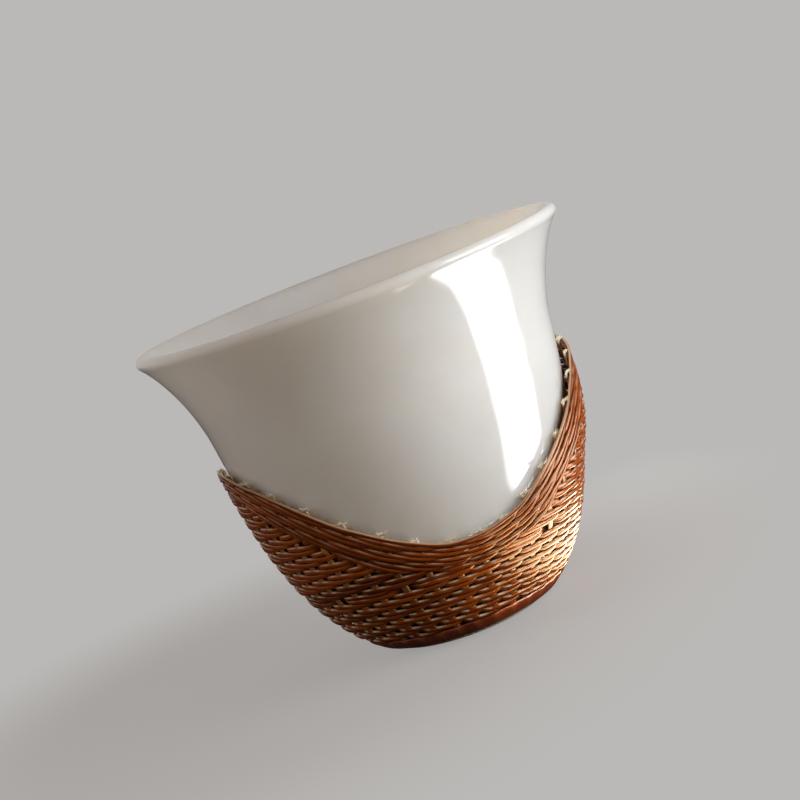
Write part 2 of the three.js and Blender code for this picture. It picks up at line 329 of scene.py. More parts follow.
def sleeve_place(angle, climb, level):
    """Points of places in the sleeve, which bulges away from the cup on its right."""
    radius, height, outwards, upwards = wall_at(climb)
    rightward = ((1 + np.sin(angle)) / 2) ** STAND_OFF_POWER
    loose = smoothstep(climb, STAND_OFF_START, STAND_OFF_FULL) * rightward
    below_edge = edge_climb(angle) - climb
    closing = STAND_OFF_EDGE + (1 - STAND_OFF_EDGE) * smoothstep(below_edge, 0, STAND_OFF_CLOSING)
    level = level + STAND_OFF * loose * closing
    return around(angle, radius + level * upwards, height - level * outwards)


def sleeve_out(angle, climb):
    """Directions straight out from the wall at places in the sleeve."""
    _, _, outwards, upwards = wall_at(climb)
    return around(angle, upwards, -outwards)


# Meshes
def unit(vectors):
    return vectors / np.linalg.norm(vectors, axis=-1, keepdims=True)


def squircle(sides, power):
    """Section of a strand, two wide and two thick. A low power makes it squarer."""
    turn = (np.arange(sides) + 0.5) * TURN / sides
    flat = np.stack([np.cos(turn), np.sin(turn)], axis=-1)
    return np.sign(flat) * np.abs(flat) ** power


class Shape:
    """A piece's closed shells, with two sets of face coordinates and values at each vertex.

    Strand coordinates run along a strand in millimetres and once round it. Map coordinates lay every face
    out flat, each shell in its own band of the map.
    """

    def __init__(self):
        self.vertices, self.faces, self.strand, self.map, self.values = [], [], [], [], {}
        self.size = 0

    def add(self, vertices, faces, strand, flat, **values):
        self.vertices.append(vertices)
        self.faces.extend((face + self.size).tolist() for face in faces)
        self.strand.extend(strand)
        self.map.extend(flat)
        for name, value in values.items():
            self.values.setdefault(name, []).append(np.broadcast_to(value, len(vertices)))
        self.size += len(vertices)


def grid_faces(rings, sides):
    """Ring, side and four corners of each face between rings of vertices."""
    grid = np.meshgrid(np.arange(rings - 1), np.arange(sides), indexing="ij")
    ring, side = (part.ravel() for part in grid)
    beside = (side + 1) % sides
    here, beyond = ring * sides, (ring + 1) * sides
    return ring, side, np.stack([here + side, here + beside, beyond + beside, beyond + side], axis=-1)


def face_coordinates(along, beyond, side, sides):
    """Coordinates of the corners of the faces between two rings."""
    low, high = side / sides, (side + 1) / sides
    return np.stack([np.stack([along, low], -1), np.stack([along, high], -1),
                     np.stack([beyond, high], -1), np.stack([beyond, low], -1)], axis=1)


def each_vertex(value, rings, sides):
    """A tube's value at each vertex, from one for the whole tube, for each ring or for each vertex."""
    if np.ndim(value) == 1:
        value = np.reshape(value, (-1, 1))
    return np.broadcast_to(value, (rings, sides)).ravel()


def add_tube(shape, centres, outs, widths, thicknesses, section, band=(0, 1), row_rings=None, **values):
    """Closed tube along centres, whose faces are laid out on the map in rows of so many rings."""
    tangents = unit(np.gradient(centres, axis=0))
    facing = unit(outs - (outs * tangents).sum(-1, keepdims=True) * tangents)
    across = np.cross(facing, tangents)
    reach_across = across[:, None] * section[:, :1] * np.reshape(widths, (-1, 1, 1)) / 2
    reach_out = facing[:, None] * section[:, 1:] * np.reshape(thicknesses, (-1, 1, 1)) / 2
    rings = centres[:, None] + reach_across + reach_out
    count, sides = rings.shape[:2]
    ring, side, quads = grid_faces(count, sides)
    lengths = lengths_along(centres)
    row_rings = row_rings or count - 1
    rows = math.ceil((count - 1) / row_rings)
    row = ring // row_rings
    strand = face_coordinates(lengths[ring], lengths[ring + 1], side, sides)
    flat = face_coordinates(ring / row_rings - row, (ring + 1) / row_rings - row, side, sides)
    flat[..., 1] = (flat[..., 1] + row[:, None]) / rows
    ends = [np.arange(sides)[::-1], np.arange(sides) + (count - 1) * sides]
    for end, length in zip(ends, lengths[[0, -1]]):
        share = end % sides / sides
        strand = [*strand, np.stack([np.full(sides, length), share], axis=-1)]
        flat = [*flat, np.stack([np.full(sides, length > 0) * 1.0, share / rows], axis=-1)]
    flat = [np.stack([at[:, 0], band[0] + (band[1] - band[0]) * at[:, 1]], axis=-1) for at in flat]
    spread = {name: each_vertex(value, count, sides) for name, value in values.items()}
    shape.add(rings.reshape(-1, 3), [*quads, *ends], strand, flat, **spread)


def add_lathe(shape, profile, segments, closed):
    """Body of revolution. The profile runs from axis to axis, or closes on itself."""
    turn = np.arange(segments) * TURN / segments
    line = profile[1:-1] if not closed else np.vstack([profile, profile[:1]])
    rings = np.stack([around(turn, radius, height) for radius, height in line])
    ring, side, quads = grid_faces(len(line), segments)
    vertices = rings.reshape(-1, 3)
    lengths = lengths_along(line)
    shares = lengths / lengths[-1]
    strand = list(face_coordinates(lengths[ring], lengths[ring + 1], side, segments))
    flat = list(face_coordinates(shares[ring], shares[ring + 1], side, segments))
    faces = list(quads)
    if closed:
        faces = [face % (len(vertices) - segments) for face in faces]
        vertices = vertices[:-segments]
    else:
        poles = np.array([[0, 0, profile[0][1]], [0, 0, profile[-1][1]]])
        for pole, start in enumerate((0, len(vertices) - segments)):
            here = start + np.arange(segments)
            beside = start + (np.arange(segments) + 1) % segments
            top = np.full(segments, len(vertices) + pole)
            triangles = np.stack([here, beside, top] if pole else [beside, here, top], axis=-1)
            turned = (triangles - start) / segments
            share = np.stack([np.full((segments, 3), float(pole)), turned], axis=-1)
            share[:, 2, 1] = share[:, 0, 1]
            faces.extend(triangles)
            strand.extend(share * [lengths[-1], 1])
            flat.extend(share)
        vertices = np.vstack([vertices, poles])
    shape.add(vertices, faces, strand, flat)


def signed_volume(vertices, faces):
    fans = [(face[0], face[turn], face[turn + 1]) for face in faces for turn in range(1, len(face) - 1)]
    corners = vertices[np.array(fans)]
    return float(np.einsum("ij,ij->i", corners[:, 0], np.cross(corners[:, 1], corners[:, 2])).sum() / 6)


def add_piece(name, shape, materials, nodes, face_material=None):
    vertices = np.vstack(shape.vertices)
    mesh = bpy.data.meshes.new(name)
    mesh.from_pydata((vertices * MM).tolist(), [], shape.faces)
    for map_name, coordinates in (("OFBake", shape.map), ("Strand", shape.strand)):
        layer = mesh.uv_layers.new(name=map_name)
        layer.data.foreach_set("uv", np.concatenate(coordinates).astype(np.float32).ravel())
    for value_name, parts in shape.values.items():
        column = mesh.attributes.new(value_name, "FLOAT", "POINT")
        column.data.foreach_set("value", np.concatenate(parts).astype(np.float32))
    if signed_volume(vertices, shape.faces) < 0:
        mesh.flip_normals()
    for material in materials:
        mesh.materials.append(material)
    if face_material is not None:
        mesh.polygons.foreach_set("material_index", face_material)
    mesh.shade_smooth()
    piece = bpy.data.objects.new(name, mesh)
    bpy.context.scene.collection.objects.link(piece)
    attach(piece, "root")
    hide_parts(*nodes)


# Materials
def linear(red, green, blue):
    """Linear colour with alpha, from the 8-bit values that a screen shows."""
    values = [value / 255 for value in (red, green, blue)]
    return (*[v / 12.92 if v <= 0.04045 else ((v + 0.055) / 1.055) ** 2.4 for v in values], 1)


GLAZE = linear(242, 241, 238)
GLAZE_CLOUD = linear(236, 234, 229)
GLAZE_SPECK = linear(120, 96, 70)
# Painted shade for the glaze under the sleeve's edge
GLAZE_UNDER_SLEEVE_SHADE = linear(70, 26, 8)
FOOT_CLAY = linear(226, 219, 207)
FOOT_STAIN = linear(196, 181, 160)
WEFT_DARK = linear(88, 24, 4)
WEFT_LIGHT = linear(162, 74, 18)
WEFT_FIBRE = linear(206, 124, 42)
WEFT_RECESS_SHADE = linear(74, 22, 6)
WEFT_GLINT = linear(242, 208, 172)
STAKE_DARK = linear(138, 88, 34)
STAKE_LIGHT = linear(190, 132, 62)
STAKE_FIBRE = linear(108, 60, 20)
STAKE_GLINT = linear(226, 178, 134)
STAKE_CUT = linear(246, 238, 218)
HOOP_DARK = linear(124, 40, 10)
HOOP_LIGHT = linear(170, 74, 20)
HOOP_STREAK = linear(74, 22, 6)
HOOP_RUBBED_HIGHLIGHT = linear(196, 112, 38)


def set_inputs(tree, node, **inputs):
    """Sets inputs to values or links them to outputs, by name with _ for spaces, or as i0, i1 and so on."""
    for name, value in inputs.items():
        is_number = name[0] == "i" and name[1:].isdigit()
        socket = node.inputs[int(name[1:]) if is_number else name.replace("_", " ")]
        if isinstance(value, bpy.types.NodeSocket):
            tree.links.new(value, socket)
        else:
            socket.default_value = value


def add_node(tree, kind, settings=None, **inputs):
    node = tree.nodes.new(kind)
    for name, value in (settings or {}).items():
        setattr(node, name, value)
    set_inputs(tree, node, **inputs)
    return node


def new_material(name):
    material = bpy.data.materials.new(name)
    material.use_nodes = True
    tree = material.node_tree
    return material, tree, tree.nodes["Principled BSDF"]


def math_node(tree, operation, first, second=0.0):
    return add_node(tree, "ShaderNodeMath", {"operation": operation}, i0=first, i1=second).outputs[0]


def map_range(tree, value, low, high, to_low=0.0, to_high=1.0):
    node = add_node(tree, "ShaderNodeMapRange", {"interpolation_type": "SMOOTHSTEP"}, Value=value,
                    From_Min=low, From_Max=high, To_Min=to_low, To_Max=to_high)
    return node.outputs["Result"]


def mix_colour(tree, share, first, second):
    """The inputs and outputs of this node have one name for every type of data, so they go by number."""
    return add_node(tree, "ShaderNodeMix", {"data_type": "RGBA"}, i0=share, i6=first, i7=second).outputs[2]


def noise(tree, vector, scale=1.0, detail=3.0, roughness=0.5):
    return add_node(tree, "ShaderNodeTexNoise", Vector=vector, Scale=scale, Detail=detail,
                    Roughness=roughness).outputs["Fac"]


def strand_vector(tree, along, across):
    """Strand coordinates stretched so that noise runs along the strand as fibres do."""
    coordinates = add_node(tree, "ShaderNodeUVMap", {"uv_map": "Strand"}).outputs["UV"]
    stretched = add_node(tree, "ShaderNodeMapping", Vector=coordinates, Scale=(along, across, 1))
    return stretched.outputs["Vector"]


def attribute(tree, name):
    return add_node(tree, "ShaderNodeAttribute", {"attribute_name": name}).outputs["Fac"]


def glazed_porcelain():
    material, tree, shader = new_material("glazed_porcelain")
    place = add_node(tree, "ShaderNodeTexCoord").outputs["Object"]
    cloud = noise(tree, place, scale=70, detail=2)
    speck_distance = add_node(tree, "ShaderNodeTexVoronoi", Vector=place, Scale=48.0).outputs["Distance"]
    speck = map_range(tree, speck_distance, 0.008, 0.016, 1.0, 0.0)
    body = mix_colour(tree, map_range(tree, cloud, 0.3, 0.7), GLAZE, GLAZE_CLOUD)
    specked = mix_colour(tree, math_node(tree, "MULTIPLY", speck, 0.6), body, GLAZE_SPECK)
    # Painted shade: the glaze under the sleeve's edge is darkened, so that it shows dark through the
    # weave's gaps
    foot_stain_and_glaze_shade = math_node(tree, "MULTIPLY", attribute(tree, "foot_stain_and_glaze_shade"), 0.9)
    colour = mix_colour(tree, foot_stain_and_glaze_shade, specked, GLAZE_UNDER_SLEEVE_SHADE)
    dent = math_node(tree, "MULTIPLY", speck, -0.4)
    ripple = math_node(tree, "ADD", noise(tree, place, scale=120, detail=1), dent)
    bump = add_node(tree, "ShaderNodeBump", Strength=0.35, Distance=0.00008, Height=ripple)
    haze = noise(tree, place, scale=300, detail=2)
    set_inputs(tree, shader, Base_Color=colour, Normal=bump.outputs["Normal"],
               Roughness=map_range(tree, haze, 0.3, 0.7, 0.1, 0.15))
    set_inputs(tree, shader, IOR=1.52, Subsurface_Weight=1.0, Subsurface_Radius=(1.0, 0.86, 0.7),
               Subsurface_Scale=0.009)
    return material


def bare_foot():
    material, tree, shader = new_material("bare_porcelain")
    place = add_node(tree, "ShaderNodeTexCoord").outputs["Object"]
    grain = noise(tree, place, scale=2600, detail=4, roughness=0.6)
    foot_stain_and_glaze_shade = noise(tree, place, scale=160)
    colour = mix_colour(tree, map_range(tree, foot_stain_and_glaze_shade, 0.35, 0.75), FOOT_CLAY, FOOT_STAIN)
    bump = add_node(tree, "ShaderNodeBump", Strength=0.5, Distance=0.00004, Height=grain)
    set_inputs(tree, shader, Base_Color=colour, Normal=bump.outputs["Normal"],
               Roughness=map_range(tree, grain, 0.3, 0.7, 0.55, 0.75))
    return material


def lacquered_weft():
    material, tree, shader = new_material("lacquered_weft")
    fibres = noise(tree, strand_vector(tree, along=0.22, across=9), detail=4, roughness=0.6)
    cloud = noise(tree, strand_vector(tree, along=0.09, across=0.4), detail=2)
    tone = math_node(tree, "ADD", math_node(tree, "MULTIPLY", attribute(tree, "tone"), 0.6),
                     math_node(tree, "MULTIPLY", cloud, 0.4))
    body = mix_colour(tree, map_range(tree, tone, 0.0, 1.0), WEFT_DARK, WEFT_LIGHT)
    fibre_share = map_range(tree, fibres, 0.42, 0.72, 0.0, 0.3)
    fibred = mix_colour(tree, fibre_share, body, WEFT_FIBRE)
    # Painted shade: darker on the strand's straight edges and where it is tucked under a stake
    edge = math_node(tree, "MULTIPLY", attribute(tree, "edge"), 0.35)
    tuck = map_range(tree, attribute(tree, "depth"), 0.1, 0.9, 0.75, 0.0)
    recess_shaded = mix_colour(tree, math_node(tree, "MAXIMUM", edge, tuck), fibred, WEFT_RECESS_SHADE)
    # Painted glints on the bared upper sides and a painted highlight along the edge's top
    colour = mix_colour(tree, attribute(tree, "worn"), recess_shaded, WEFT_GLINT)
    bump = add_node(tree, "ShaderNodeBump", Strength=0.35, Distance=0.00002, Height=fibres)
    set_inputs(tree, shader, Base_Color=colour, Normal=bump.outputs["Normal"],
               Roughness=map_range(tree, fibres, 0.3, 0.7, 0.14, 0.24))
    set_inputs(tree, shader, Specular_IOR_Level=0.4, Specular_Tint=(1, 0.66, 0.32, 1), Coat_Weight=0.06,
               Coat_Roughness=0.07, Coat_IOR=1.55)
    return material


def split_stake():
    material, tree, shader = new_material("split_stake")
    fibres = noise(tree, strand_vector(tree, along=0.3, across=12), detail=4, roughness=0.65)
    body = mix_colour(tree, attribute(tree, "tone"), STAKE_DARK, STAKE_LIGHT)
    fibre_share = map_range(tree, fibres, 0.35, 0.7, 0.0, 0.5)
    fibred = mix_colour(tree, fibre_share, body, STAKE_FIBRE)
    # Painted highlight on the stake's right side
    glint_share = math_node(tree, "MULTIPLY", attribute(tree, "worn"), 0.8)
    worn = mix_colour(tree, glint_share, fibred, STAKE_GLINT)
    colour = mix_colour(tree, attribute(tree, "tip"), worn, STAKE_CUT)
    bump = add_node(tree, "ShaderNodeBump", Strength=0.45, Distance=0.00003, Height=fibres)
    set_inputs(tree, shader, Base_Color=colour, Normal=bump.outputs["Normal"],
               Roughness=map_range(tree, attribute(tree, "tip"), 0.0, 1.0, 0.28, 0.7))
    set_inputs(tree, shader, Coat_Weight=0.4, Coat_Roughness=0.08)
    return material


def lacquered_hoop():
    material, tree, shader = new_material("lacquered_hoop")
    place = add_node(tree, "ShaderNodeTexCoord").outputs["Object"]
    cloud = noise(tree, place, scale=130, roughness=0.55)
    streaks = noise(tree, strand_vector(tree, along=2.2, across=40))
    body = mix_colour(tree, map_range(tree, cloud, 0.3, 0.72), HOOP_DARK, HOOP_LIGHT)
    streaked = mix_colour(tree, map_range(tree, streaks, 0.4, 0.75, 0.0, 0.4), body, HOOP_STREAK)
    # Lighter on the ridges over the stakes: rubbed lacquer and a painted highlight
    ridge = math_node(tree, "MULTIPLY", attribute(tree, "ridge"), 0.35)
    colour = mix_colour(tree, ridge, streaked, HOOP_RUBBED_HIGHLIGHT)
    bump = add_node(tree, "ShaderNodeBump", Strength=0.4, Distance=0.00006, Height=cloud)
    set_inputs(tree, shader, Base_Color=colour, Normal=bump.outputs["Normal"],
               Roughness=map_range(tree, cloud, 0.3, 0.7, 0.24, 0.4))
    set_inputs(tree, shader, Specular_IOR_Level=0.25, Coat_Weight=1.0, Coat_Roughness=0.08)
    return material


# The porcelain cup
def make_cup():
    foot_outer = FOOT_RADIUS - FOOT_TAPER
    foot_inner = foot_outer - FOOT_WIDTH
    corners = [(0, FOOT_RECESS), (foot_inner - FOOT_TAPER, FOOT_RECESS), (foot_inner, 0),
               (foot_outer, 0), foot_top]
    foot = rounded([np.array(corner, float) for corner in corners], FOOT_ROUNDING)
    outside = wall_outline(waist_outside, lip_outside, foot_top, bowl_handle, CURVE_STEPS)
    inside = wall_outline(waist_inside, lip_inside, floor_centre, floor_handle, CURVE_STEPS)
    turn = np.radians(np.linspace(-LIP_LEAN, 180 - LIP_LEAN, LIP_STEPS + 1))
    lip = lip_centre + lip_round * np.stack([np.cos(turn), np.sin(turn)], axis=-1)
    profile = np.vstack([foot[:-1], outside, lip[1:-1], inside[::-1]])
    shape = Shape()
    add_lathe(shape, profile, CUP_SEGMENTS, closed=False)
    across, depth, height = np.vstack(shape.vertices).T
    climb = np.interp(height, wall[:, 1], wall_climbs)
    # Painted shade on the outer wall below the sleeve's edge
    is_wall = np.abs(np.hypot(across, depth) - wall_radius(climb)) < WALL_THICKNESS / 4
    below_edge = edge_climb(np.arctan2(across, -depth)) - climb
    sleeve_shaded = smoothstep(below_edge, SLEEVE_SHADE_START, SLEEVE_SHADE_END)
    shape.values["foot_stain_and_glaze_shade"] = [is_wall * (height >= FOOT_HEIGHT) * sleeve_shaded]
    bare = [int(max(height[face]) < FOOT_ROUNDING) for face in shape.faces]
    add_piece("porcelain", shape, [glazed_porcelain(), bare_foot()], ["porcelain_cup"], bare)


# Wefts
def crowding_at(distance):
    return np.exp(-((distance / CROWDING_REACH) ** 2))


def twill(running, stake_step):
    """How far a weft is over the stakes, its arch and its sideways push, at a count of stakes passed."""
    phase = np.mod(running, TWILL_REPEAT)
    rise = smoothstep(phase * stake_step, DIVE_START, DIVE_START + RISE_LENGTH)
    dive = smoothstep((TWILL_REPEAT - phase) * stake_step, DIVE_START, DIVE_START + DIVE_LENGTH)
    over = np.minimum(rise, dive)
    arch = np.clip(1 - (phase - TWILL_REPEAT / 2) ** 2, 0, 1)
    return over, arch, crowding_at(phase - 1) - crowding_at(phase - 2)


def wander(running, waves):
    """Slow, irregular variation between about -1 and 1."""
    phases = random.uniform(0, TURN, len(waves))
    return sum(np.sin(TURN * running / wave + phase) for wave, phase in zip(waves, phases)) / len(waves)


# Half a strand's width up and half its thickness out: a crowned face, straight edges and a flat back
weft_section = np.array([(1, -0.8), (1, 0.35), (0.86, 0.68), (0.42, 0.94),
                         (-0.42, 0.94), (-0.86, 0.68), (-1, 0.35), (-1, -0.8)])
weft_edge = smoothstep(np.abs(weft_section[:, 0]), 0.8, 1)  # one on the straight edges, which painted shade darkens
hidden_start = HOOP_RISE + HOOP_HEIGHT + ROW_PITCH / 2
body_rows = round((border_bottom(0) - hidden_start) / ROW_PITCH)
body_pitch = (border_bottom(0) - hidden_start) / body_rows
back_step = TWILL_REPEAT * round(STAKE_COUNT / 2 / TWILL_REPEAT)  # stakes from the front to the back
tucks = {stake: [] for stake in range(STAKE_COUNT)}  # climbs at which wefts pass under each stake


def sample_places(start, end):
    """Counts of stakes passed at which a weft is sampled, closest together at its tucks."""
    repeats = np.arange(math.floor(start / TWILL_REPEAT), math.ceil(end / TWILL_REPEAT))
    places = (repeats[:, None] * TWILL_REPEAT + np.array(WEFT_SAMPLES)).ravel()
    between = (places > start + SAMPLE_GAP) & (places < end - SAMPLE_GAP)
    return np.concatenate([[start], places[between], [end]])


def weft_shape(angle, climb, running, presence=1.0, lift=0.0, rim=0.0, way=1.0, width=WEFT_WIDTH):
    """A weft through places in the sleeve, at each of which it has passed a running count of stakes.

    Presence is how far it weaves there, lift how far it stays over the stakes, rim how far it is the
    sleeve's edge, and way 1 or -1, for rightwards or leftwards.
    """
    stake_step = wall_radius(climb) * STAKE_STEP
    over, arch, push = twill(running, stake_step)
    over = np.maximum(np.maximum(over * presence, lift), rim)
    level = UNDER_LEVEL + (OVER_LEVEL - UNDER_LEVEL) * over + FLOAT_ARCH * arch * over
    level = level + LEVEL_WANDER * wander(running, LEVEL_WAVES)
    climb = climb + ROW_CROWDING * push * over + CLIMB_WANDER * wander(running, CLIMB_WAVES)
    for place in np.flatnonzero(over < TUCKED):
        tucks[round(angle[place] / STAKE_STEP) % STAKE_COUNT].append(climb[place])
    tones = random.uniform(0, 1, int(np.ptp(running) // SPLINT_STAKES) + 2)
    splint = ((running - running.min()) // SPLINT_STAKES).astype(int)
    upper_side = smoothstep(np.outer(np.broadcast_to(way, len(angle)), weft_section[:, 0]), GLINT_SIDE, 1)
    # Painted glint: the upper side is made pale beside a stake that the row above goes under, where it is
    # bared
    above, _, _ = twill(running - 1, stake_step)
    from_stake = np.abs(np.mod(running, TWILL_REPEAT) - 1) * stake_step - STAKE_WIDTH / 2
    bared_glint = (1 - np.maximum(above, lift)) * smoothstep(from_stake, -GLINT_INSIDE, GLINT_OUTSIDE) * presence
    spread = 1 + TUCK_SPREAD * smoothstep(over, TUCK_SPREAD_START, TUCK_SPREAD_FULL)
    widths = width * spread * (1 + WIDTH_WANDER * wander(running, WIDTH_WAVES))
    thicknesses = WEFT_THICKNESS * (1 + THICKNESS_WANDER * wander(running, THICKNESS_WAVES))
    shape = Shape()
    add_tube(shape, sleeve_place(angle, climb, level), sleeve_out(angle, climb), widths, thicknesses,
             weft_section, row_rings=MAP_ROW_RINGS, depth=over, tone=tones[splint],
             edge=np.tile(weft_edge, (len(angle), 1)),
             worn=np.maximum(bared_glint, RIM_GLINT * rim)[:, None] * upper_side)
    return shape


def whole_repeats(steps):
    return TWILL_REPEAT * math.floor(steps / TWILL_REPEAT)


def winding_wefts(rows, count, row_climb, is_border):
    """Wefts that wind round and round, each turn a row higher than the last."""
    steps = rows * STAKE_COUNT
    for weft in range(count):
        first, last = whole_repeats(steps * weft / count), whole_repeats(steps * (weft + 1) / count)
        running = sample_places(back_step + first, back_step + last)
        turn = (running - back_step) / STAKE_COUNT
        row = np.minimum(np.floor(turn) + smoothstep(turn % 1, 1 - ROW_STEP, 1), rows - 1)
        angle = running * STAKE_STEP
        climb = row_climb(row, angle)
        if is_border:
            rim = smoothstep(row, rows - 1.5, rows - 1)
            width = BORDER_WIDTH * fan(angle)
            yield weft_shape(angle, climb, running, lift=BORDER_LIFT, rim=rim, width=width)
        else:
            yield weft_shape(angle, climb, running)


def body_climb(row, angle):
    return hidden_start + (row + 0.5) * body_pitch


def border_climb(row, angle):
    return edge_climb(angle) - (BORDER_TURNS - row - 0.5) * border_pitch(angle)


def packing_ends():
    """The climb of each row of the packing, and the angle at which it passes under the border."""
    angles = np.linspace(0, TURN / 4, BORDER_SAMPLES)
    roofs = border_bottom(angles) + BORDER_COVER * border_pitch(angles)
    climb = body_climb(body_rows, 0)
    while climb < roofs.max() - body_pitch:
        yield climb, float(angles[np.argmax(roofs > climb)])
        climb += body_pitch


def packing_weft(side):
    """One weft that goes back and forth on a high side of the sleeve, turning back under the border."""
    middle = side * TURN / 4
    parts = {"angle": [], "climb": [], "running": [], "presence": [], "way": []}
    for row, (climb, start) in enumerate(packing_ends()):
        way = 1 if row % 2 == 0 else -1
        reach = TURN / 4 - start
        shift = body_rows + row - PACKING_AHEAD
        first, last = ((middle + end * reach) / STAKE_STEP - shift for end in (-1, 1))
        running = sample_places(first, last)[::way]
        angle = (running + shift) * STAKE_STEP
        sweep = (angle - middle) / reach
        stake_share = STAKE_STEP / reach
        turning = smoothstep(np.abs(sweep), 1 - PACKING_TURN * stake_share, 1) * np.sign(sweep * way)
        parts["angle"].append(angle)
        parts["climb"].append(climb + PACKING_TURN_CLIMB * body_pitch * turning)
        parts["running"].append(running)
        parts["presence"].append(smoothstep(1 - np.abs(sweep), PACKING_UNDER * stake_share, stake_share))
        parts["way"].append(np.full(len(angle), way))
    angle, climb, running, presence, ways = (np.concatenate(parts[name]) for name in parts)
    return weft_shape(angle, climb, running, presence, way=ways)


def make_wefts():
    material = lacquered_weft()
    for number, shape in enumerate(winding_wefts(body_rows, BODY_WEFTS, body_climb, False), 1):
        add_piece(f"weft_body_{number}", shape, [material], [f"body_weft_{number}"])
    for number, shape in enumerate(winding_wefts(BORDER_TURNS, BORDER_WEFTS, border_climb, True), 1):
        add_piece(f"weft_border_{number}", shape, [material], [f"border_weft_{number}"])
    for name, side in (("right", 1), ("left", -1)):
        node = f"packing_weft_{name}"
        add_piece(f"weft_packing_{name}", packing_weft(side), [material], [node])


# Stakes, with fibres that stand up where their ends are cut
stake_section = squircle(sides=8, power=0.68)
stake_edge = smoothstep(-stake_section[:, 0], 0.7, 0.9)  # one on the right side, which faces the key light and carries a painted highlight
fibre_section = squircle(sides=4, power=1)


def make_stakes():
    material = split_stake()
    for number, node in enumerate(stake_nodes):
        angle = number * STAKE_STEP
        bottom = HOOP_RISE + STAKE_BOTTOM
        top = edge_climb(angle) + STAKE_TIP
        climb = np.linspace(bottom, top, round((top - bottom) / STAKE_SPACING))
        angles = np.full_like(climb, angle)
        bow = sum(np.exp(-(((climb - tuck) / STAKE_BOW_REACH) ** 2)) for tuck in tucks[number])
        pressed = smoothstep(climb - border_bottom(angle), -BORDER_PRESS_START, BORDER_PRESS_FULL)
        level = STAKE_LEVEL + STAKE_BOW * np.minimum(bow, 1) - BORDER_PRESS * pressed
        shape = Shape()
        tone = random.uniform(0, 1)
        width = STAKE_WIDTH * random.uniform(*STAKE_WIDTHS)
        add_tube(shape, sleeve_place(angles, climb, level), sleeve_out(angles, climb),
                 np.full_like(climb, width), np.full_like(climb, STAKE_THICKNESS), stake_section,
                 band=(0, STAKE_MAP_SHARE), tone=tone, worn=np.tile(stake_edge, (len(climb), 1)),
                 tip=smoothstep(climb, top - STAKE_PALE_START, top - STAKE_PALE_FULL))
        fray = random.uniform(*FRAYING)
        band_height = (1 - STAKE_MAP_SHARE) / FIBRES_PER_TIP
        for fibre in range(FIBRES_PER_TIP):
            low = STAKE_MAP_SHARE + fibre * band_height
            add_fibre(shape, angle, top, width, fray, (low, low + band_height))
        add_piece(f"bamboo_{node}", shape, [material], [node])


def add_fibre(shape, angle, top, width, fray, band):
    radius = wall_radius(top)
    share = np.linspace(0, 1, FIBRE_POINTS)
    curl = share**FIBRE_CURL * fray
    sideways = random.uniform(-FIBRE_PLACE, FIBRE_PLACE) * width
    sideways = sideways + curl * random.uniform(-FIBRE_SPLAY, FIBRE_SPLAY)
    climb = top - FIBRE_ROOT + share * random.uniform(*FIBRE_LENGTHS) * fray
    level = STAKE_LEVEL - BORDER_PRESS + random.uniform(-FIBRE_DEPTH, FIBRE_DEPTH)
    level = level + curl * random.uniform(0, 1)
    angles = angle + sideways / radius
    thickness = random.uniform(*FIBRE_THICKNESSES) * (1 - FIBRE_TAPER * share)
    add_tube(shape, sleeve_place(angles, climb, level), sleeve_out(angles, climb),
             thickness * FIBRE_FLATNESS, thickness, fibre_section, band=band, tip=1.0, tone=0.5, worn=0.0)


def make_hoop():
    inner = STAKE_LEVEL + STAKE_THICKNESS / 2 + WEAVE_GAP
    share = np.linspace(-1, 1, HOOP_STEPS)
    climb = HOOP_RISE + HOOP_HEIGHT * (share + 1) / 2
    outer = inner + HOOP_THICKNESS * (1 - HOOP_ROUNDING * share**HOOP_ROUNDING_POWER)
    places = [sleeve_place(np.zeros(HOOP_STEPS), climb, level) for level in (outer, inner)]
    outer_side, inner_side = (np.stack([-place[:, 1], place[:, 2]], axis=-1) for place in places)
    outline = np.vstack([outer_side, inner_side[::-1]])
    shape = Shape()
    add_lathe(shape, outline, HOOP_SEGMENTS, closed=True)
    angle = np.arange(HOOP_SEGMENTS) * TURN / HOOP_SEGMENTS
    from_stake = (angle + STAKE_STEP / 2) % STAKE_STEP - STAKE_STEP / 2
    arc = from_stake * wall_radius(climb)[:, None]
    rising = smoothstep(share, HOOP_RIDGE_START, HOOP_RIDGE_FULL)
    ridge = np.exp(-((arc / HOOP_RIDGE_WIDTH) ** 2)) * rising[:, None]
    outward = np.stack([sleeve_out(angle, np.full(HOOP_SEGMENTS, at)) for at in climb])
    shape.vertices[0][:outward[..., 0].size] += (HOOP_RIDGE * ridge[..., None] * outward).reshape(-1, 3)
    shape.values["ridge"] = [np.concatenate([ridge.ravel(), np.zeros(ridge.size)])]
    add_piece("hoop", shape, [lacquered_hoop()], ["base_hoop"])


# The wefts come before the stakes, which bow out over their tucks
make_cup()
make_wefts()
make_stakes()
make_hoop()

# Camera, at the photograph's viewing angle
CAMERA_PLACE = Vector((-58.2, -273.9, 76.26)) * MM
CAMERA_AIM = Vector((1.656, -0.352, 37.233)) * MM
CAMERA_ROLL = math.radians(-20.83)
FOCAL_PIXELS = 1730.8
FRAME_PIXELS = 800
SENSOR_WIDTH = 36
NEAR_CLIP = 0.01


